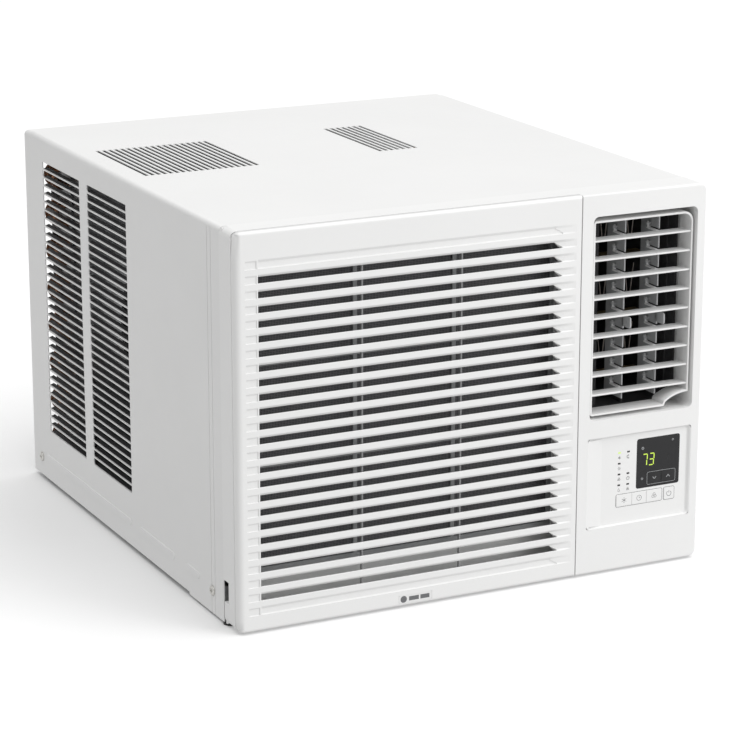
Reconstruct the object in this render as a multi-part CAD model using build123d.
from build123d import *
from math import cos, sin, pi, radians, sqrt
import os

os.makedirs("parts", exist_ok=True)

# Window air conditioner. X runs across the front, +Y from the front to the back, +Z up.
# The origin is under the middle of the machine, on the surface that it stands on.
# Depths are counted from the front face towards the back.

# Overall size
width = 615.0
height = 472.0
depth = 685.0

# Walls and clearances
sheet = 1.2              # painted steel
plastic = 2.4            # moulded plastic
gap = 0.5                # between fixed pieces that are assembled
running = 0.05           # radial clearance of a pin in its eye
free = 0.4               # between a moving piece and its neighbours
low = 2.5                # height of the plastic front above the surface

# Front frame and the split between the grille and the right panel
frame_depth = 43.0
corner = 9.0
split = 136.0            # right edge of the inlet grille
grille_depth = 10.0
wall_depth = 36.0        # inner wall of the frame, behind the filter

# Inlet grille
slots = 23
slot_pitch = 16.97
slot_low = 42.9          # middle of the lowest slot
slot_height = 6.4
slot_left, slot_right = -279.0, 100.0
slat_depth = 7.5
hinge_in = 5.0           # hinge pin from the front face and from the top edge
pin_radius = 1.25
eye_radius = 2.35
hinge_x = (-235.0, 75.0)
notch_front, notch_low, notch_high = 28.0, 30.0, 56.0
slit = 3.0               # relief of the side rim below the notch

# Air filter
filter_box = (-285.0, 116.0, 62.0, 432.0)        # left, right, bottom, top
filter_depth = 24.0
filter_thick = 6.0
filter_rib = 5.0
filter_border = 8.0
filter_lift = 8.0

# Air outlet, its tilting cassette and the two vanes
outlet = (151.5, 295.5, 195.5, 445.0)
cassette = (155.0, 293.0, 199.5, 438.5)
cassette_front, cassette_back = 5.5, 31.0
cassette_wall = 2.5
cassette_slats = 9
cassette_pitch = 23.6
slat_front, slat_back = 7.0, 26.0
slat_thick = 2.2
pivot_radius = 3.0
pivot_depth = 17.5
vane_x = (208.0, 255.0)
vane_depth = 46.0        # depth of the vane pegs
vane_front, vane_rear = 29.0, 68.0
vane_low, vane_high = 209.2, 430.0
vane_offset = 3.6        # plate from the peg line
vane_thick = 1.6
peg_radius = 1.2

# Controls
recess = (150.0, 295.5, 58.5, 173.0)
recess_depth = 3.5
ramp = 22.0
window = (221.0, 282.0, 100.0, 163.0)
led_left, led_right = 196.7, 209.3
led_size = (3.7, 2.0)
key_row = (81.0, 96.0)
keys_white = (("key_mode", 193.4, 215.4), ("key_timer", 215.4, 236.1),
              ("key_fan_speed", 236.1, 257.9), ("key_power", 261.0, 275.5))
keys_dark = (("key_temp_down", 237.1, 256.3), ("key_temp_up", 256.3, 276.1))
dark_row = (104.0, 118.7)
key_travel = 0.5
key_proud = 0.6
key_skirt = 2.0

# Cabinet
cabinet_front = 44.5
cabinet_inset = 1.0
cabinet_bend = 6.0
rear_step = 18.0
cabinet_step = 148.0
louvre_columns = ((328.0, 459.0), (486.0, 619.0))
louvres = 34
louvre_pitch = 10.76
louvre_low, louvre_lip = 74.0, 1.4
louvre_reach, louvre_rise = 6.0, 2.2
top_vents = ((-276.0, 19, 337.0, 507.0), (45.0, 7, 348.0, 514.0))
top_pitch, top_slot = 8.1, 4.9
beads = ((332.0, 637.0), (192.0, 303.0), (116.0, 156.0))
bead_middle, bead_height = 36.0, 9.0
creases = (68.5, 79.0)
screw_depth, screw_up = 77.0, 31.0

# Base pan
pan_floor = 7.0
foot_radius = 9.0
pan_lip = 46.0
skid_x, skid_wide = 205.0, 34.0

# Heat exchangers
tube_radius, tube_wall = 4.76, 0.5
tube_pitch, row_pitch = 25.4, 22.0
evap = (-275.0, 118.0, 68.0, 428.0)
evap_depth, evap_thick = 48.0, 48.0
cond = (-270.0, 205.0, 22.0, 452.0)
cond_depth, cond_thick = 618.0, 50.0
coil_sheet = 1.5
tube_overhang = 5.0

# Air moving parts, all on one line
shaft_x, shaft_z, shaft_radius = -55.0, 246.0, 6.0
wheel_radius, wheel_depth, wheel_width = 112.0, 152.0, 96.0
wheel_blades, wheel_blade = 36, 16.0
scroll_front, scroll_back = 144.0, 258.0
scroll_small, scroll_large = 124.0, 186.0
fan_radius, fan_depth, fan_blades = 186.0, 500.0, 5
motor_radius, motor_front, motor_back = 56.0, 340.0, 440.0
partition_depth = 316.0
shroud_depth = 566.0
compressor_x, compressor_y, compressor_radius = 213.0, 425.0, 60.0
compressor_height = 245.0
accumulator_x, vessel_radius, vessel_low, vessel_high = 117.0, 22.0, 76.0, 206.0
pipe_radius, pipe_wall = 4.76, 0.7
thin_radius, thin_wall = 3.2, 0.6
capillary_radius, capillary_wall = 1.6, 0.5
corridor = 146.5         # line of the thin tube between the compressor and its vessel
drier_x, drier_depth, drier_low, drier_high = 240.0, 600.0, 150.0, 235.0

# Outlet duct
duct_left = 197.5
duct_front, duct_rear = 46.0, 262.0
duct_low, duct_high = 193.5, 447.0

# Control box
box_left, box_right, box_low, box_high = 166.0, 290.0, 56.0, 186.0
box_front, box_back = 60.0, 205.0


def back(distance):
    """Y of a plane at this depth behind the front face."""
    return distance - depth / 2


def block(x0, x1, d0, d1, z0, z1):
    """Box between two places across, two depths and two heights."""
    return Pos((x0 + x1) / 2, back((d0 + d1) / 2), (z0 + z1) / 2) * Box(x1 - x0, d1 - d0, z1 - z0)


def facing(sketch, d0, d1):
    """Front view outline carried from one depth to another."""
    plane = Plane(origin=(0, back(d0), 0), x_dir=(1, 0, 0), z_dir=(0, -1, 0))
    return extrude(plane * sketch, amount=d1 - d0, dir=(0, 1, 0))


def across(points, x0, x1):
    """Side view outline of (depth, height) points carried from one side to the other."""
    outline = make_face(Polyline(*[(back(d), z) for d, z in points], close=True))
    return extrude(Plane(origin=(x0, 0, 0), x_dir=(0, 1, 0), z_dir=(1, 0, 0)) * outline, amount=x1 - x0)


def rectangle(x0, x1, z0, z1, radius=0.0):
    """Front view rectangle with rounded corners."""
    shape = Rectangle(x1 - x0, z1 - z0) if radius == 0 else RectangleRounded(x1 - x0, z1 - z0, radius)
    return Pos((x0 + x1) / 2, (z0 + z1) / 2) * shape


def plate(x0, x1, z0, z1, d0, d1, radius=0.0):
    """Plate that faces the front."""
    return facing(rectangle(x0, x1, z0, z1, radius), d0, d1)


def rod_y(x, z, d0, d1, radius):
    """Round bar running from front to back."""
    return facing(Pos(x, z) * Circle(radius), d0, d1)


def rod_x(x0, x1, d, z, radius):
    """Round bar running across."""
    return Pos((x0 + x1) / 2, back(d), z) * Rot(0, 90, 0) * Cylinder(radius, x1 - x0)


def rod_z(x, d, z0, z1, radius):
    """Upright round bar."""
    return Pos(x, back(d), (z0 + z1) / 2) * Cylinder(radius, z1 - z0)


def tube(points, radii, outer, wall):
    """Bent pipe through points given as (across, depth, height)."""
    path = FilletPolyline(*[(x, back(d), z) for x, d, z in points], radius=radii)
    ring = Circle(outer) - Circle(outer - wall)
    return sweep(Plane(origin=path @ 0, z_dir=path % 0) * ring, path=path)


def group(pieces):
    """Separate solids that share one node."""
    solids = [solid for piece in pieces for solid in piece.solids()]
    return Compound(children=solids)


# Front: frame, grille, filter

half = width / 2


def front_frame():
    """Moulded frame: rim, right panel, outlet tunnel, inner wall, filter rails and hinge arms."""
    left = split + 0.6
    rim = plate(-half, half, low, height, grille_depth + 0.6, frame_depth, corner)
    rim -= plate(-half + plastic, half - plastic, low + plastic, height - plastic, 0, frame_depth + 1,
                 corner - plastic)
    panel = plate(left - 40, half, low, height, 0, frame_depth, corner)
    panel = fillet(panel.edges().filter_by(Plane.XZ).group_by(Axis.Y)[0], 2.5)
    panel -= plate(left + plastic, half - plastic, low + plastic, height - plastic, recess_depth,
                   frame_depth + 1)
    panel -= block(left - 60, left, -1, frame_depth + 1, -1, height + 1)
    frame = rim + panel
    inner = plate(-half + 1, left + 1, low + 1, height - 1, wall_depth, wall_depth + plastic)
    inner -= plate(evap[0], evap[1], evap[2], evap[3], 0, frame_depth)
    frame += inner
    # outlet tunnel
    frame -= plate(*outlet, -1, frame_depth + 2, 7)
    frame += (plate(outlet[0] - plastic, outlet[1] + plastic, outlet[2] - plastic, outlet[3] + plastic,
                    recess_depth - 1, frame_depth, 7 + plastic) - plate(*outlet, -1, frame_depth + 2, 7))
    frame -= rod_x(outlet[0] - 6, outlet[1] + 6, pivot_depth, middle_z, pivot_radius + running)
    # opening for the control panel
    frame -= plate(*recess, -1, recess_depth + 0.1, 3)
    # sweep of the grille's upper rear edge
    sweep_radius = sqrt(hinge_in ** 2 + (grille_depth - hinge_in) ** 2) + free
    frame -= rod_x(-half - 1, left, hinge_in, height - hinge_in, sweep_radius)
    # filter rails: a shelf, two sides and their front lips
    x0, x1, z0, z1 = filter_box
    d0, d1 = filter_depth - 0.6, filter_depth + filter_thick + 0.6
    wall = wall_depth + 0.5
    frame += block(x0 - 3, x1 + 3, d0 - 2, wall, z0 - 3.4, z0 - free)
    for a, b, c, d in ((x0 - 3, x0 - free, x0 - 3, x0 + 3), (x1 + free, x1 + 3, x1 - 3, x1 + 3)):
        frame += block(a, b, d0 - 2, wall, z0 - 2, z1 - 40)
        frame += block(c, d, d0 - 2, d0, z0 - 2, z1 - 40)
        frame += block(c, d, d1, wall, z0 - 2, z1 - 40)
    # bent hinge arms
    pivot = height - hinge_in
    for x in hinge_x:
        arm = rod_x(x - 2, x + 2, hinge_in, pivot, eye_radius)
        arm += block(x - 2, x + 2, hinge_in - 1.2, hinge_in + 1.2, pivot - 13, pivot)
        arm += block(x - 2, x + 2, hinge_in - 1.2, wall, pivot - 13, pivot - 10)
        frame += arm - rod_x(x - 3, x + 3, hinge_in, pivot, pin_radius + running)
    # hook pocket in the left and right rims
    for side in (-1, 1):
        a, b = sorted((side * (half - 6), side * (half + 1)))
        frame -= block(a, b, notch_front, frame_depth + 1, notch_low, notch_high)
        frame -= block(a, b, frame_depth - slit, frame_depth + 1, -1, notch_low + 1)
        a, b = sorted((side * (half - 7), side * (half - 5)))
        frame += block(a, b, notch_front - 2, frame_depth - slit, notch_low - 2, notch_high - 6)
        a, b = sorted((side * (half - 7), side * (half - 1)))
        frame += block(a, b, notch_front - 2, frame_depth - slit, notch_low - 2, notch_low)
        frame += block(a, b, notch_front - 2, notch_front, notch_low - 2, notch_high)
    return frame


def inlet_grille():
    """Front grille: a shallow tray with pointed slots, slats behind them and hinge pins."""
    tray = plate(-half, split + 30, low, height, 0, grille_depth, corner)
    tray = fillet(tray.edges().filter_by(Plane.XZ).group_by(Axis.Y)[0], 3.5)
    tray -= block(split, split + 40, -1, grille_depth + 1, -1, height + 1)
    hollow = plate(-half + 2.2, split + 30, low + 2.2, height - 2.2, 2.2, grille_depth + 1, corner - 2.2)
    hollow = fillet(hollow.edges().filter_by(Plane.XZ).group_by(Axis.Y)[0], 1.4)
    tray -= hollow - block(split - 2.2, split + 40, -1, grille_depth + 2, -1, height + 1)
    centres = [slot_low + slot_pitch * i for i in range(slots)]
    slats = [z - slot_pitch / 2 for z in centres] + [centres[-1] + slot_pitch / 2]
    for z in slats:
        tray += across([(2, z + 4.8), (slat_depth, z + 3.4), (slat_depth, z + 1.6), (2, z - 4.6)],
                       slot_left - 1, slot_right + 14)
    behind = slat_depth - 2.5
    for x, front in ((-148.0, behind), (-20.0, behind), (slot_left - 1.6, 2), (slot_right + 14.6, 2)):
        tray += block(x - 0.9, x + 0.9, front, grille_depth - 0.8, slats[0] - 6, slats[-1] + 6)
    h = slot_height / 2
    cutters = []
    for z in centres:
        outline = make_face(Polyline((slot_left, z + h), (slot_left, z - h + 2), (slot_left + 2, z - h),
                                     (slot_right + 10, z - h), (slot_right, z + h), close=True))
        cutters.append(facing(outline, -1, 2.3))
        cutters.append(across([(-1, z + h + 5.2), (1.9, z + h - 0.1), (-1, z + h - 0.1)], slot_left,
                              slot_right + 2))
    tray -= cutters
    pivot = height - hinge_in
    for x in hinge_x:
        for a, b in ((x - 10, x - 2.3), (x + 2.3, x + 10)):
            tray += block(a, b, 1.5, hinge_in + 2.3, pivot, height - 1.5)
            tray += rod_x(a, b, hinge_in, pivot, eye_radius)
        tray += rod_x(x - 4, x + 4, hinge_in, pivot, pin_radius)
    return tray - badge_plate(0.0)


def badge_plate(inset):
    """Small plain bar let into the lower edge of the grille."""
    bar = plate(-103 + inset, -59 - inset, 6 + inset, 16 - inset, 0, 0.8, 2)
    return bar


def filter_frame():
    """Open plastic frame with ribs and two pull tabs."""
    x0, x1, z0, z1 = filter_box
    d0, d1 = filter_depth, filter_depth + filter_thick
    body = plate(x0, x1, z0, z1, d0, d1, 4)
    xs = (x0 + filter_border, -148.0, -20.0, x1 - filter_border)
    zs = (z0 + filter_border, 192.0, 312.0, z1 - filter_border)
    for i in range(3):
        for j in range(3):
            a, b = xs[i] + (filter_rib / 2 if i else 0), xs[i + 1] - (filter_rib / 2 if i < 2 else 0)
            c, d = zs[j] + (filter_rib / 2 if j else 0), zs[j + 1] - (filter_rib / 2 if j < 2 else 0)
            body -= plate(a, b, c, d, d0 - 1, d1 + 1)
    body -= plate(xs[0] - 2, xs[3] + 2, zs[0] - 2, zs[3] + 2, d0 + 2.4, d0 + 3.6)
    for x in (-215.0, 45.0):
        body += plate(x - 16, x + 16, z1 - 1, z1 + 9, d0, d0 + 2, 3)
    return body


def filter_mesh():
    """Washable mesh held in the groove of its frame."""
    x0, x1, z0, z1 = filter_box
    edge = filter_border - 2
    return plate(x0 + edge, x1 - edge, z0 + edge, z1 - edge, filter_depth + 2.6, filter_depth + 3.4)


# Outlet: cassette and vanes

middle_z = (cassette[2] + cassette[3]) / 2
slat_heights = [middle_z + cassette_pitch * (i - (cassette_slats - 1) / 2) for i in range(cassette_slats)]


def cassette_outline():
    """Rounded rectangle with a finger notch at its lower right corner."""
    x0, x1, z0, z1 = cassette
    line = Polyline((x1, z0 + 14.5), (x1, z1), (x0, z1), (x0, z0), (x1 - 34, z0), (x1 - 32, z0 + 5))
    scoop = ThreePointArc((x1 - 32, z0 + 5), (x1 - 19, z0 + 11.5), (x1, z0 + 14.5))
    face = make_face(line + scoop)
    corners = face.vertices()
    top = corners.group_by(Axis.Y)[-1].sort_by(Axis.X)
    face = fillet(top[-1], 13)
    return fillet(face.vertices().group_by(Axis.X)[0], 4)


def louver_cassette():
    """Tilting frame with flat slats; each slat carries a peg for either vane."""
    x0, x1, z0, z1 = cassette
    outline = cassette_outline()
    inside = offset(outline, amount=-cassette_wall, kind=Kind.INTERSECTION)
    body = facing(outline, cassette_front, cassette_back)
    body = fillet(body.edges().filter_by(Plane.XZ).group_by(Axis.Y)[0], 0.8)
    body -= facing(inside, cassette_front - 1, cassette_back + 1)
    for z in slat_heights:
        slat = across([(slat_front, z - slat_thick / 2 + 0.5), (slat_front + 0.6, z - slat_thick / 2),
                       (slat_back, z - 0.5), (slat_back, z + 0.5), (slat_front + 0.6, z + slat_thick / 2),
                       (slat_front, z + slat_thick / 2 - 0.5)], x0 + 1, x1 - 1)
        body += slat
        for x in vane_x:
            body += block(x - 2, x + 2, slat_back - 1, vane_depth, z - 0.8, z + 0.8)
            body += rod_z(x, vane_depth, z - 0.8, z + 0.8, 2)
            body += rod_z(x, vane_depth, z, z + 8, peg_radius)
    for a, b in ((outlet[0] - 1.5, x0 + 1), (x1 - 1, outlet[1] + 1.5)):
        body += rod_x(a, b, pivot_depth, middle_z, pivot_radius)
    for a, b in ((outlet[0] + free, x0 + 1), (x1 - 1, outlet[1] - free)):
        body += rod_x(a, b, pivot_depth, middle_z, pivot_radius + 2)
    return body


def vane(x):
    """Upright plate with an ear on every peg and a finger tab at the front."""
    left = x + vane_offset
    body = block(left, left + vane_thick, vane_front, vane_rear, vane_low, vane_high)
    for z in slat_heights:
        body -= block(left - 1, left + 3, vane_front - 1, vane_depth + 3, z - 3.2, z + 3.2)
        body += rod_z(x, vane_depth, z + 4, z + 7, peg_radius + 1.5)
        body += block(x, left + 0.5, vane_depth - 1.5, vane_depth + 1.5, z + 4, z + 7)
        body -= rod_z(x, vane_depth, z + 3, z + 8.5, peg_radius + running + 0.15)
    tab_z = slat_heights[4] - cassette_pitch / 2
    tab = block(left, left + vane_thick, 11, vane_front + 1, tab_z - 7, tab_z + 7)
    tab = fillet(tab.edges().filter_by(Axis.X).group_by(Axis.Y)[0], 3)
    return body + tab


# Controls

def control_panel():
    """Recessed plate behind the face, sloping out to it at the left."""
    x0, x1, z0, z1 = recess
    body = plate(x0 - 5, x1 + 5, z0 - 5, z1 + 5, recess_depth + 0.1, recess_depth + 2.6, 3)
    wedge = make_face(Polyline((x0 + 0.4, back(0.4)), (x0 + ramp, back(recess_depth)),
                               (x0 + ramp, back(recess_depth + 0.5)), (x0 + 0.4, back(recess_depth + 0.5)),
                               close=True))
    body += Pos(0, 0, z0 + 3) * extrude(wedge, amount=z1 - z0 - 6)
    body += plate(x0 + ramp - 1, x1 - 0.4, z0 + 0.4, z1 - 0.4, recess_depth, recess_depth + 0.5, 2.6)
    body -= plate(*window, 0, recess_depth + 5, 3)
    for x, z in led_places():
        body -= led(x, z, 0, recess_depth + 5, 0.05)
    for name, a, b in keys_white:
        body -= plate(a, b, *key_row, 0, recess_depth + 5, 1.2)
    return body


def led_places():
    """Indicator centres: four in the left column, three in the right one."""
    rows = (149.3, 135.7, 122.0, 108.3)
    return [(led_left, z) for z in rows] + [(led_right, z) for z in (rows[0], rows[2], rows[3])]


def led(x, z, d0, d1, grow=0.0):
    w, h = led_size[0] / 2 + grow, led_size[1] / 2 + grow
    return plate(x - w, x + w, z - h, z + h, d0, d1, 0.6)


def display_window():
    """Smoked window with an opening for the temperature keys and pockets for the digits."""
    body = plate(window[0] + 0.05, window[1] - 0.05, window[2] + 0.05, window[3] - 0.05,
                 recess_depth - 0.1, recess_depth + 1.9, 2.95)
    for name, a, b in keys_dark:
        body -= plate(a, b, *dark_row, 0, recess_depth + 5, 1.2)
    return body - digit_bars(0.3)


digits = {"7": "abc", "3": "abcdg"}


def digit_bars(deep):
    """Seven-segment figures 73; a is the top bar, b and c the right ones, d the bottom, g the middle."""
    w, h, t, lean = 6.4, 14.4, 1.3, 0.10
    places = {"a": (0, h / 2, 1), "g": (0, 0, 1), "d": (0, -h / 2, 1), "b": (w / 2, h / 4, 0),
              "c": (w / 2, -h / 4, 0)}
    bars = []
    for figure, middle in (("7", 232.6), ("3", 242.2)):
        for name in digits[figure]:
            x, z, flat = places[name]
            size = (w - t, t) if flat else (t, h / 2 - t * 0.6)
            spot = (middle + x + z * lean, 135.5 + z)
            bars.append(facing(Pos(*spot) * Rectangle(*size), recess_depth - 0.1, recess_depth - 0.1 + deep))
    return bars


def key(x0, x1, z0, z1, front, wall):
    """Key cap with a skirt behind the panel and a stem for its switch."""
    cap = plate(x0 + 0.15, x1 - 0.15, z0 + 0.15, z1 - 0.15, front, wall + 0.8, 1.1)
    cap = chamfer(cap.edges().filter_by(Plane.XZ).group_by(Axis.Y)[0], 0.25)
    skirt = plate(x0 + 0.15, x1 - 0.15, z0 - key_skirt, z1 + key_skirt, wall + 0.2, wall + 1.4)
    x, z = (x0 + x1) / 2, (z0 + z1) / 2
    return cap + skirt + rod_y(x, z, wall + 1, wall + 3.5, 1.6)


def key_list():
    """Every key as name, outline and the depth of the panel's rear face at it."""
    rows = [(name, (a, b, *key_row), recess_depth + 2.6) for name, a, b in keys_white]
    return rows + [(name, (a, b, *dark_row), recess_depth + 1.9) for name, a, b in keys_dark]


def display_board():
    """Circuit board behind the panel with switches, lamps and the figure module."""
    d = recess_depth + 2.6 + 5.0
    board = plate(184, 288, 70, 168, d, d + 1.6, 2)
    for name, (a, b, z0, z1), wall in key_list():
        x, z = (a + b) / 2, (z0 + z1) / 2
        board += block(x - 3, x + 3, wall + 4.2, d + 0.2, z - 3, z + 3)
    for x, z in led_places():
        board += block(x - 1.2, x + 1.2, recess_depth + 2.7, d + 0.2, z - 1.2, z + 1.2)
    board += block(226, 250, recess_depth + 2.2, d + 0.2, 125, 147)
    for x, z in ((188, 163), (284.5, 166), (188, 74), (284.5, 74)):
        board += rod_y(x, z, recess_depth + 2.6, d + 0.2, 2.2)
    return board


# Cabinet and base

cab = half - cabinet_inset
cab_top = height - cabinet_inset


def cover_outline(x, z):
    """Outline of the cover: square below, bent corners above."""
    shape = Pos(0, z / 2) * Rectangle(2 * x, z)
    return fillet(shape.vertices().group_by(Axis.Y)[-1], cabinet_bend - (cab - x))


def louvre_holes(side):
    """Slots of both columns through one side wall."""
    a, b = sorted((side * (cab - 3), side * (cab + 2)))
    cuts = []
    for d0, d1 in louvre_columns:
        for i in range(louvres):
            z = louvre_low + louvre_pitch * i
            cuts.append(across([(d0, z + louvre_lip), (d1 - 2.5, z + louvre_lip), (d1, z + louvre_lip + 2),
                                (d1, z + louvre_pitch), (d0, z + louvre_pitch)], a, b))
    return cuts


def louvre_blades(side):
    """Blades bent inwards and up from the lower edge of each slot."""
    blades = []
    x = side * (cab - sheet)
    for d0, d1 in louvre_columns:
        for i in range(louvres):
            z = louvre_low + louvre_pitch * i
            points = [(x + side * 0.4, z + 0.1), (x - side * louvre_reach, z + louvre_rise),
                      (x - side * (louvre_reach - 0.5), z + louvre_rise + 1), (x + side * 0.4, z + 1.3)]
            face = make_face(Polyline(*points, close=True))
            blades.append(facing(face, d0 - 0.5, d1 + 0.5))
    return blades


def cabinet():
    """Wrap-round steel cover with louvres in the sides and slots in the top."""
    step = 1.0
    main = facing(cover_outline(cab, cab_top), cabinet_front, depth - rear_step)
    tail = facing(cover_outline(cab, cab_top - step), depth - rear_step - sheet, depth)
    hollow = facing(cover_outline(cab - sheet, cab_top - sheet), cabinet_front - 1,
                    depth - rear_step - sheet)
    hollow += facing(cover_outline(cab - sheet, cab_top - step - sheet), depth - rear_step - sheet - 1,
                     depth - sheet)
    body = main + tail - hollow
    body -= plate(-cab + 14, cond[1] + 8, -1, cab_top - 16, depth - 5, depth + 1, 6)
    body -= block(-cab - 1, cab + 1, 0, depth + 1, -1, low + 0.5)
    body -= block(-cab - 1, cab + 1, cabinet_step, depth + 1, -1, low + 3.5)
    for side in (-1, 1):
        a, b = sorted((side * (cab - 0.5), side * (cab + 1)))
        body -= [block(a, b, d, d + 1.6, 1, cab_top - 6) for d in creases]
        for d0, d1 in beads:
            bead = Plane(origin=(side * (cab - 0.2), back((d0 + d1) / 2), bead_middle),
                         x_dir=(0, 1, 0), z_dir=(side, 0, 0)) * SlotOverall(d1 - d0, bead_height)
            raised = extrude(bead, amount=1.1)
            body += chamfer(raised.edges().group_by(Axis.X)[-1 if side > 0 else 0], 0.8)
        body -= louvre_holes(side)
        body += louvre_blades(side)
        a, b = sorted((side * (cab - 4), side * (cab + 3)))
        body -= [rod_x(a, b, d, screw_up, 2.3) for d in screw_places()]
        body -= rod_x(a, b, bush_depth, bush_up, bush_hole) if side > 0 else []
    for x0, count, d0, d1 in top_vents:
        body -= [block(x0 + top_pitch * i, x0 + top_pitch * i + top_slot, d0, d1, cab_top - 3, cab_top + 1)
                 for i in range(count)]
    return body


bush_depth, bush_up, bush_hole = 95.0, 66.0, 8.0


def screw_places():
    """Depths of the screws along the bottom of either side."""
    return (screw_depth, depth - 30)


def cabinet_screws():
    """Pan-head screws through the cover into the base pan."""
    screws = []
    for side in (-1, 1):
        for d in screw_places():
            x = side * cab
            a, b = sorted((x - side * 8, x))
            head = Pos(x, back(d), screw_up) * Rot(0, side * 90, 0) * (
                Pos(0, 0, 1.1) * Cylinder(6.2, 2.2))
            head = fillet(head.edges().group_by(Axis.X)[-1 if side > 0 else 0], 1.4)
            a2, b2 = sorted((x + side * 1.2, x + side * 3))
            head -= block(a2, b2, d - 3, d + 3, screw_up - 0.6, screw_up + 0.6)
            head -= block(a2, b2, d - 0.6, d + 0.6, screw_up - 3, screw_up + 3)
            screws.append(head + rod_x(a, b, d, screw_up, 2.0))
    return group(screws)


def cord_bush():
    """Ring-shaped bush for a supply cord in the right side of the cover."""
    ring = rod_x(cab - 8, cab, bush_depth, bush_up, bush_hole - 0.05)
    ring += rod_x(cab, cab + 1.0, bush_depth, bush_up, bush_hole + 2)
    ring += rod_x(cab - 8, cab - sheet - 0.1, bush_depth, bush_up, bush_hole + 1)
    return ring - rod_x(cab - 9, cab + 3, bush_depth, bush_up, 4.6)


pan_x = cab - sheet - gap
pan_front, pan_rear = frame_depth + 3.0, depth - 8.0


def base_pan():
    """Steel tray with a raised rim and two skids pressed down to the surface."""
    body = plate(-pan_x, pan_x, pan_floor, pan_lip, pan_front, pan_rear)
    body -= plate(-pan_x + sheet, pan_x - sheet, pan_floor + sheet, pan_lip + 1, pan_front + sheet,
                  pan_rear - sheet)
    for x in (-skid_x, skid_x):
        body += block(x - skid_wide / 2, x + skid_wide / 2, pan_front + 20, pan_rear - 20, 0, pan_floor + 1)
        body -= block(x - skid_wide / 2 + sheet, x + skid_wide / 2 - sheet, pan_front + 21.2,
                      pan_rear - 21.2, sheet, pan_floor + 10)
    body -= block(-pan_x + 30, pan_x - 30, pan_rear - 3, pan_rear + 1, 20, pan_lip + 1)
    for x in (-pan_x - 1, pan_x - 5):
        body -= [rod_x(x, x + 6, d, screw_up, 2.05) for d in screw_places()]
    body -= rod_z(0, pan_rear - 40, pan_floor - 1, pan_floor + 3, 8)
    return body


def front_feet():
    """Small rubber feet under the front corners of the frame."""
    return group([rod_z(side * (half - foot_radius - 0.5), cabinet_front, 0, low, foot_radius)
                  for side in (-1, 1)])


# Heat exchangers

def coil_levels(z0, z1):
    """Heights of the tube runs in a coil."""
    count = int((z1 - z0) / tube_pitch)
    start = (z0 + z1 - (count - 1) * tube_pitch) / 2
    return [start + tube_pitch * i for i in range(count)]


def coil_rows(d, thick):
    """Depths of the two rows of tubes in a coil."""
    middle = d + thick / 2
    return (middle - row_pitch / 2, middle + row_pitch / 2)


def coil_fins(box, d, thick):
    """Fin pack, pierced for its tubes."""
    x0, x1, z0, z1 = box
    body = plate(x0 + coil_sheet, x1 - coil_sheet, z0, z1, d, d + thick)
    holes = [rod_x(x0, x1, row, z, tube_radius + 0.1) for row in coil_rows(d, thick)
             for z in coil_levels(z0, z1)]
    return body - holes


def coil_plates(box, d, thick):
    """Two end plates, flanged to the rear."""
    x0, x1, z0, z1 = box
    plates = []
    for x, out in ((x0, -1), (x1 - coil_sheet, 1)):
        end = block(x, x + coil_sheet, d - 1, d + thick + 1, z0 - 6, z1 + 6)
        end -= [rod_x(x - 1, x + coil_sheet + 1, row, z, tube_radius + 0.1)
                for row in coil_rows(d, thick) for z in coil_levels(z0, z1)]
        a, b = sorted((x + (coil_sheet if out > 0 else 0), x + (coil_sheet if out > 0 else 0) + out * 8))
        end += block(a, b, d + thick - 0.2, d + thick + 1, z0 - 6, z1 + 6)
        plates.append(end)
    return group(plates)


def winding(levels, row, ends):
    """Runs of one row from its right-hand start, joined by half-round return bends."""
    y = back(row)
    edges = []
    for i, z in enumerate(levels):
        here, there = ends[(i + 1) % 2], ends[i % 2]
        edges.append(Line((here, y, z), (there, y, z)))
        if i < len(levels) - 1:
            bulge = tube_pitch / 2 if there > here else -tube_pitch / 2
            following = levels[i + 1]
            edges.append(ThreePointArc((there, y, z), (there + bulge, y, (z + following) / 2),
                                       (there, y, following)))
    return edges


def coil_tubes(box, d, thick, crossing_high):
    """One tube through both rows; it crosses over at the top or at the bottom on the right."""
    x0, x1, z0, z1 = box
    levels = coil_levels(z0, z1)
    levels = levels[:len(levels) // 2 * 2]
    ends = (x0 - tube_overhang, x1 + tube_overhang)
    rows = coil_rows(d, thick)
    order = levels if crossing_high else levels[::-1]
    edges = winding(order, rows[0], ends)
    edges.append(ThreePointArc((ends[1], back(rows[0]), order[-1]),
                               (ends[1] + row_pitch / 2, back((rows[0] + rows[1]) / 2), order[-1]),
                               (ends[1], back(rows[1]), order[-1])))
    edges += winding(order[::-1], rows[1], ends)
    ring = Circle(tube_radius) - Circle(tube_radius - tube_wall)
    start = Plane(origin=(ends[1], back(rows[0]), order[0]), z_dir=(-1, 0, 0))
    return sweep(start * ring, path=Wire(edges))


# Air moving parts

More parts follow.
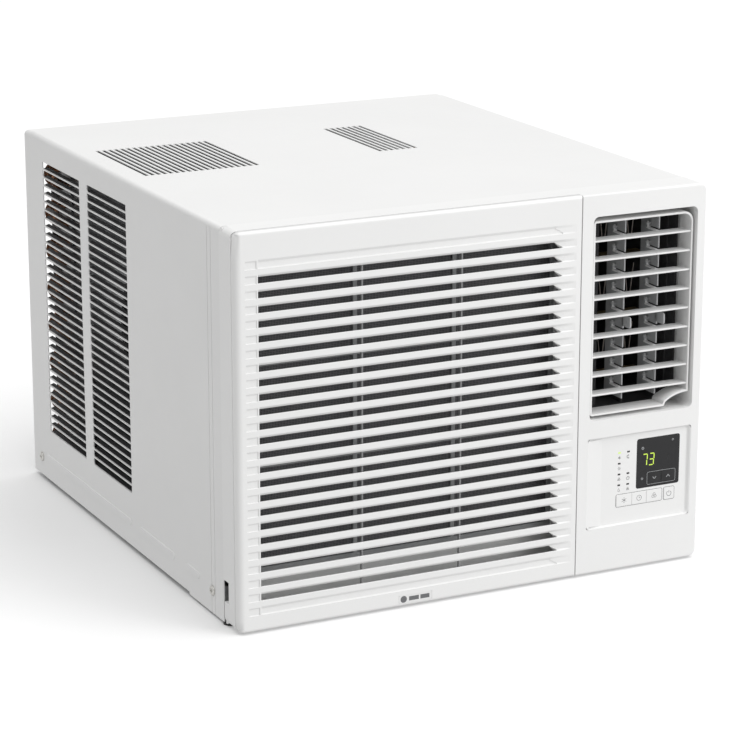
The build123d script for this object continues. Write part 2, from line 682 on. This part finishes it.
def blower_wheel():
    """Squirrel-cage wheel: back disc, front ring, curved blades and a hub."""
    d0, d1 = wheel_depth, wheel_depth + wheel_width
    disc = rod_y(shaft_x, shaft_z, d1 - 2, d1, wheel_radius)
    ring = rod_y(shaft_x, shaft_z, d0, d0 + 4, wheel_radius) - rod_y(
        shaft_x, shaft_z, d0 - 1, d0 + 5, wheel_radius - wheel_blade)
    hub = rod_y(shaft_x, shaft_z, d1 - 26, d1, 14)
    blades = []
    inner, outer = wheel_radius - wheel_blade + 0.8, wheel_radius - 0.8
    for i in range(wheel_blades):
        turn = 2 * pi * i / wheel_blades
        p0 = (inner * cos(turn), inner * sin(turn))
        p2 = (outer * cos(turn + 0.10), outer * sin(turn + 0.10))
        p1 = ((inner + outer) / 2 * cos(turn - 0.01), (inner + outer) / 2 * sin(turn - 0.01))
        arc = ThreePointArc(p0, p1, p2)
        blade = trace(arc, line_width=1.2)
        blades.append(facing(Pos(shaft_x, shaft_z) * blade, d0 + 2, d1 - 1))
    wheel = disc + ring + hub + blades
    return wheel - rod_y(shaft_x, shaft_z, d0, d1 + 1, shaft_radius)


def condenser_fan():
    """Five swept blades on a hub, with a slinger ring round their tips."""
    hub = rod_y(shaft_x, shaft_z, fan_depth - 18, fan_depth + 18, 40)
    hub -= rod_y(shaft_x, shaft_z, fan_depth - 16, fan_depth + 19, 36)
    hub += rod_y(shaft_x, shaft_z, fan_depth - 18, fan_depth + 14, 12)
    fan = hub
    for i in range(fan_blades):
        blade = Pos(0, 0, 0) * Box(fan_radius - 36, 2.4, 96)
        blade = Pos((fan_radius + 36) / 2, 0, 0) * Rot(26, 0, 0) * Rot(0, 0, 0) * blade
        blade &= Rot(90, 0, 0) * (Cylinder(fan_radius, 200) - Cylinder(38, 200))
        fan += Pos(shaft_x, back(fan_depth), shaft_z) * Rot(0, 360 / fan_blades * i, 0) * blade
    fan += (rod_y(shaft_x, shaft_z, fan_depth + 4, fan_depth + 16, fan_radius + 3)
            - rod_y(shaft_x, shaft_z, fan_depth + 3, fan_depth + 17, fan_radius - 0.5))
    return fan - rod_y(shaft_x, shaft_z, fan_depth - 20, fan_depth + 20, shaft_radius)


def motor_shaft():
    """Shaft through the motor to the wheel in front and the fan behind."""
    return rod_y(shaft_x, shaft_z, wheel_depth + wheel_width - 30, fan_depth + 30, shaft_radius)


def shaft_nuts():
    """Nuts that hold the wheel and the fan."""
    nuts = []
    for d in (wheel_depth + wheel_width - 33.5, fan_depth + 14.2):
        nut = facing(Pos(shaft_x, shaft_z) * RegularPolygon(10, 6), d, d + 7)
        nuts.append(nut - rod_y(shaft_x, shaft_z, d - 1 if d > 300 else d + 3.5, d + 8, shaft_radius))
    return group(nuts)


def fan_motor():
    """Round motor body with end bells."""
    body = rod_y(shaft_x, shaft_z, motor_front + 10, motor_back - 10, motor_radius)
    body += rod_y(shaft_x, shaft_z, motor_front, motor_back, motor_radius - 8)
    body += rod_y(shaft_x, shaft_z, motor_front - 8, motor_back + 8, 16)
    return body - rod_y(shaft_x, shaft_z, motor_front - 10, motor_back + 10, shaft_radius + running)


def motor_bracket():
    """Pressed steel cradle that stands on the base pan."""
    d0, d1 = motor_front + 20, motor_back - 20
    z0, z1 = pan_floor + sheet, shaft_z - 20
    body = block(shaft_x - 75, shaft_x + 75, d0, d1, z0, z1)
    body -= block(shaft_x - 73, shaft_x + 73, d0 - 1, d1 + 1, z0 + 2, z1 - motor_radius - 2)
    return body - rod_y(shaft_x, shaft_z, d0 - 1, d1 + 1, motor_radius + 0.2)


def motor_strap():
    """Steel band over the motor, screwed to the cradle."""
    d0, d1 = motor_front + 38, motor_front + 56
    ring = rod_y(shaft_x, shaft_z, d0, d1, motor_radius + 2) - rod_y(
        shaft_x, shaft_z, d0 - 1, d1 + 1, motor_radius + 0.3)
    z = shaft_z - 20
    ring -= block(shaft_x - 90, shaft_x + 90, d0 - 1, d1 + 1, 0, z + 0.1)
    for side in (-1, 1):
        a, b = sorted((shaft_x + side * (motor_radius - 3), shaft_x + side * 74))
        ring += block(a, b, d0, d1, z + 0.1, z + 1.7) - rod_y(
            shaft_x, shaft_z, d0 - 1, d1 + 1, motor_radius + 0.3)
    return ring


def scroll_outline(extra=0.0):
    """Spiral that grows by equal steps from the cut-off round to the top, then runs to the duct."""
    start, turn, steps = -25.0, -245.0, 12
    points = []
    for i in range(steps + 1):
        part = i / steps
        angle = radians(start + turn * part)
        radius = scroll_small + (scroll_large - scroll_small) * part + extra
        points.append((shaft_x + radius * cos(angle), shaft_z + radius * sin(angle)))
    end = duct_left - 1.5
    top = points[-1][1]
    spiral = Spline(*points)
    rest = Polyline(points[-1], (end, top), (end, points[0][1] - extra), points[0])
    return make_face(spiral + rest), top, points[0][1]


def blower_scroll():
    """Volute housing with a round inlet at the front and its outlet to the right."""
    outer, top, bottom = scroll_outline(1.6)
    inner, inner_top, inner_bottom = scroll_outline(0.0)
    body = facing(outer, scroll_front, scroll_back)
    body -= facing(inner, scroll_front + 1.6, scroll_back - 1.6)
    body -= block(duct_left - 5, duct_left + 5, scroll_front + 1.6, scroll_back - 1.6, inner_bottom,
                  inner_top)
    body -= rod_y(shaft_x, shaft_z, scroll_front - 1, scroll_front + 2, wheel_radius - wheel_blade)
    body -= rod_y(shaft_x, shaft_z, scroll_back - 2, scroll_back + 1, 18)
    return body


def discharge_duct():
    """Box from the scroll to the outlet, with a front flange and a fixed divider."""
    outer = block(duct_left - 1.5, outlet[1], duct_front + 18, duct_rear, duct_low - 1.5, duct_high + 1.5)
    collar = block(outlet[0] - plastic, outlet[1] + plastic, duct_front, duct_front + 20, duct_low - 1.5,
                   duct_high + 1.5)
    collar -= block(outlet[0], outlet[1], duct_front - 1, duct_front + 18, duct_low, duct_high)
    body = outer + collar
    body -= block(duct_left, outlet[1] - 1.5, duct_front - 1, duct_rear - 1.5, duct_low, duct_high)
    outline, top, bottom = scroll_outline(0.0)
    body -= block(duct_left - 3, duct_left + 1, scroll_front + 1.6, scroll_back - 1.6,
                  max(bottom, duct_low), min(top, duct_high))
    return body + block(231, 233, 60, 100, duct_low - 0.5, duct_high + 0.5)


def heater_frame():
    """Mica cards across the duct."""
    cards = []
    for z in (215.0, 290.0, 365.0, 430.0):
        cards.append(block(duct_left + gap, outlet[1] - 1.5 - gap, 112, 134, z - 0.6, z + 0.6))
    return group(cards)


def heater_coil():
    """Zigzag heating wire above the cards."""
    wires = []
    for z in (215.0, 290.0, 365.0):
        x0, x1, count = duct_left + 10, outlet[1] - 12, 12
        pitch = (x1 - x0) / count
        points = [(x0 + pitch * i, 123, z + (3 if i % 2 else 60)) for i in range(count + 1)]
        path = FilletPolyline(*[(x, back(d), h) for x, d, h in points], radius=2.2)
        profile = Plane(origin=path @ 0, z_dir=path % 0) * Circle(0.9)
        wires.append(sweep(profile, path=path))
    return group(wires)


def partition():
    """Upright sheet between the room side and the outdoor side."""
    z0 = pan_floor + sheet
    body = plate(-pan_x + sheet + gap, pan_x - sheet - gap, z0, height - 12, partition_depth,
                 partition_depth + sheet)
    body += plate(-pan_x + sheet + gap, pan_x - sheet - gap, height - 13.2, height - 12,
                  partition_depth, partition_depth + 12)
    body -= rod_y(shaft_x, shaft_z, partition_depth - 1, partition_depth + 3, 20)
    body -= plate(122, 162, 60, 130, partition_depth - 1, partition_depth + 3, 6)
    return body


def fan_shroud():
    """Plate and ring round the fan, boxed back to the condenser."""
    x0, x1 = cond[0] + 4, cond[1] - 4
    z0, z1 = pan_floor + sheet, height - 12
    body = plate(x0, x1, z0, z1, shroud_depth, shroud_depth + 1.6)
    body += (plate(x0, x1, z0, z1, shroud_depth, cond_depth - 2)
             - plate(x0 + 1.6, x1 - 1.6, z0 - 1, z1 - 1.6, shroud_depth, cond_depth))
    body += rod_y(shaft_x, shaft_z, fan_depth - 10, shroud_depth + 1, fan_radius + 12)
    return body - rod_y(shaft_x, shaft_z, fan_depth - 20, cond_depth - 20, fan_radius + 9)


def top_brace():
    """Strap that ties the partition to the shroud."""
    z = height - 12
    return block(-15, 15, partition_depth + 0.5, cond_depth - 10, z, z + 2)


# Refrigerant circuit

compressor_top = pan_floor + sheet + 12 + compressor_height + 6


def compressor_shell():
    """Upright rotary compressor with domed ends and three feet."""
    z0 = pan_floor + sheet + 12
    x, y = compressor_x, compressor_y
    body = rod_z(x, y, z0, z0 + compressor_height, compressor_radius)
    body = fillet(body.edges(), 26)
    foot = Pos(x, back(y), z0 + 1.5) * Cylinder(30, 3)
    for i in range(3):
        turn = Rot(0, 0, 120 * i + 30)
        foot += Pos(x, back(y), z0 + 1.5) * turn * Pos(36, 0, 0) * Box(72, 30, 3)
    for fx, fy in foot_places():
        foot -= rod_z(fx, fy, z0 - 1, z0 + 4, 5)
    body += rod_z(x, y, z0 + compressor_height - 1, z0 + compressor_height + 6, 12)
    return body + foot


def foot_places():
    """Centres of the three rubber mounts."""
    reach = 62.0
    return [(compressor_x + reach * cos(radians(120 * i + 30)),
             compressor_y + reach * sin(radians(120 * i + 30))) for i in range(3)]


def compressor_grommets():
    """Rubber mounts under the compressor's feet."""
    z0 = pan_floor + sheet
    rubbers = []
    for x, y in foot_places():
        rubber = rod_z(x, y, z0, z0 + 12, 9) + rod_z(x, y, z0 + 11, z0 + 16, 4.9)
        rubber += rod_z(x, y, z0 + 15, z0 + 17, 8)
        rubbers.append(rubber - rod_z(x, y, z0 - 1, z0 + 18, 3.1))
    return group(rubbers)


def compressor_bolts():
    """Bolts through the rubber mounts."""
    z0 = pan_floor + sheet
    bolts = []
    for x, y in foot_places():
        head = Pos(x, back(y), z0 + 17) * extrude(RegularPolygon(6.5, 6), 4)
        bolts.append(head + rod_z(x, y, z0, z0 + 18, 3.0))
    return group(bolts)


def accumulator():
    """Slim suction vessel beside the compressor, with the bend that feeds it."""
    x, y, z = accumulator_x, compressor_y, vessel_low
    body = fillet(rod_z(x, y, z, vessel_high, vessel_radius).edges(), 12)
    feed = tube([(x, y, z + 1), (x, y, z - 22), (compressor_x - compressor_radius, y, z - 22)], [12],
                pipe_radius, pipe_wall)
    return body + feed


def terminal_cover():
    """Cap over the compressor's terminals."""
    top = compressor_top
    x, y = compressor_x + 34, compressor_y
    return block(x - 14, x + 14, y - 17, y + 17, top - 6, top + 22) - block(
        x - 12, x + 12, y - 15, y + 15, top - 8, top + 20)


def discharge_pipe():
    """Hot gas pipe from the compressor's top to the condenser."""
    row = coil_rows(cond_depth, cond_thick)[0]
    level = coil_levels(cond[2], cond[3])[-1]
    x = cond[1] + 30
    rise = compressor_top + 60
    return tube([(compressor_x, compressor_y, compressor_top), (compressor_x, compressor_y, rise),
                 (x, compressor_y + 60, rise), (x, row - 50, level), (x, row, level),
                 (cond[1] + tube_overhang + 0.1, row, level)], [14, 20, 20, 14], pipe_radius, pipe_wall)


def suction_pipe():
    """Cold gas pipe from the evaporator back to the accumulator."""
    row = coil_rows(evap_depth, evap_thick)[1]
    level = coil_levels(evap[2], evap[3])[0]
    x = evap[1] + 17.5
    high = vessel_high + 40
    return tube([(evap[1] + tube_overhang + 0.1, row, level), (x, row, level), (x, row + 60, level + 16),
                 (x, partition_depth + 30, level + 16), (accumulator_x, compressor_y - 24, high),
                 (accumulator_x, compressor_y, high), (accumulator_x, compressor_y, vessel_high + 0.1)],
                [8, 20, 20, 11, 11], pipe_radius, pipe_wall)


def filter_drier():
    """Copper drier in the liquid line."""
    return fillet(rod_z(drier_x, drier_depth, drier_low, drier_high, 11).edges(), 6)


def liquid_pipe():
    """Pipe from the top of the condenser down to the drier."""
    row = coil_rows(cond_depth, cond_thick)[1]
    level = coil_levels(cond[2], cond[3])[-1]
    return tube([(cond[1] + tube_overhang + 0.1, row, level), (drier_x + 14, row, level),
                 (drier_x + 14, row, level - 40), (drier_x, drier_depth, level - 80),
                 (drier_x, drier_depth, drier_high + 0.1)], [10, 12, 12], thin_radius, thin_wall)


def capillary_tube():
    """Thin tube from the drier, past the compressor and through the partition, to the evaporator."""
    row = coil_rows(evap_depth, evap_thick)[0]
    level = coil_levels(evap[2], evap[3])[0]
    return tube([(drier_x, drier_depth, drier_low - 0.1), (drier_x, drier_depth, drier_low - 40),
                 (drier_x - 10, compressor_y + 82, drier_low - 50),
                 (corridor, compressor_y + 75, level), (corridor, row, level),
                 (evap[1] + tube_overhang + 0.1, row, level)], [12, 14, 14, 10], capillary_radius,
                capillary_wall)


# Electrics

def control_box():
    """Steel box behind the controls, closed by a lid at the back."""
    body = block(box_left, box_right, box_front, box_back, box_low, box_high)
    return body - block(box_left + 1, box_right - 1, box_front + 1, box_back + 1, box_low + 1,
                        box_high - 1)


def box_lid():
    """Lid of the control box."""
    return block(box_left, box_right, box_back + 0.1, box_back + 1.3, box_low, box_high)


def main_board():
    """Main circuit board with relays and terminals."""
    d = box_front + 12
    board = plate(box_left + 8, box_right - 8, box_low + 8, box_high - 8, d, d + 1.6, 2)
    for x in (185.0, 207.0, 229.0):
        board += block(x - 8, x + 8, d + 1.5, d + 18, 80, 100)
    board += block(242, 272, d + 1.5, d + 30, 120, 150)
    for x, z in ((178, 68), (278, 68), (178, 174), (278, 174)):
        board += rod_y(x, z, box_front + 1, d + 0.2, 3)
    return board


def run_capacitor():
    """Oval capacitor on the floor of the box."""
    outline = Pos((box_left + box_right) / 2, back(160)) * SlotOverall(70, 34)
    body = Pos(0, 0, box_low + 1) * extrude(outline, amount=70)
    for x in (-12, 12):
        body += rod_z((box_left + box_right) / 2 + x, 160, box_low + 70, box_low + 80, 3)
    return body


def drain_tray():
    """Foam tray under the evaporator."""
    x0, x1 = evap[0] - 10, evap[1] + 10
    body = block(x0, x1, evap_depth - 0.4, evap_depth + evap_thick + 8, pan_floor + sheet,
                 evap[2] - 6.2)
    return body - block(x0 + 8, x1 - 8, evap_depth + 5, evap_depth + evap_thick + 2, 40, evap[2])


nodes = {
    "front_frame": front_frame(), "inlet_grille": inlet_grille(), "grille_badge": badge_plate(0.05),
    "filter_frame": filter_frame(), "filter_mesh": filter_mesh(), "louver_cassette": louver_cassette(),
    "vane_left": vane(vane_x[0]), "vane_right": vane(vane_x[1]), "control_panel": control_panel(),
    "display_window": display_window(), "display_digits": group(digit_bars(0.3)),
    "led_cooling": led(*led_places()[0], recess_depth - 0.2, recess_depth + 2.6),
    "led_lenses": group([led(x, z, recess_depth - 0.2, recess_depth + 2.6) for x, z in led_places()[1:]]),
    "display_board": display_board(), "cabinet": cabinet(), "cabinet_screws": cabinet_screws(),
    "cord_bush": cord_bush(), "base_pan": base_pan(), "front_feet": front_feet(),
    "drain_tray": drain_tray(), "evaporator_fins": coil_fins(evap, evap_depth, evap_thick),
    "evaporator_end_plates": coil_plates(evap, evap_depth, evap_thick),
    "evaporator_tubes": coil_tubes(evap, evap_depth, evap_thick, True),
    "condenser_fins": coil_fins(cond, cond_depth, cond_thick),
    "condenser_end_plates": coil_plates(cond, cond_depth, cond_thick),
    "condenser_tubes": coil_tubes(cond, cond_depth, cond_thick, False), "blower_wheel": blower_wheel(),
    "condenser_fan": condenser_fan(), "motor_shaft": motor_shaft(), "shaft_nuts": shaft_nuts(),
    "fan_motor": fan_motor(), "motor_bracket": motor_bracket(), "motor_strap": motor_strap(),
    "blower_scroll": blower_scroll(), "discharge_duct": discharge_duct(),
    "heater_cards": heater_frame(), "heater_coil": heater_coil(), "partition": partition(),
    "fan_shroud": fan_shroud(), "top_brace": top_brace(), "compressor": compressor_shell(),
    "compressor_grommets": compressor_grommets(), "compressor_bolts": compressor_bolts(),
    "accumulator": accumulator(), "terminal_cover": terminal_cover(), "discharge_pipe": discharge_pipe(),
    "suction_pipe": suction_pipe(), "filter_drier": filter_drier(),
    "liquid_pipe": liquid_pipe(), "capillary_tube": capillary_tube(), "control_box": control_box(),
    "box_lid": box_lid(), "main_board": main_board(), "run_capacitor": run_capacitor(),
}
for name, outline, wall in key_list():
    front = recess_depth - key_proud
    nodes[name] = key(*outline, front, wall)

for name, shape in nodes.items():
    export_step(shape, f"parts/{name}.step")
    print(name, len(shape.solids()))
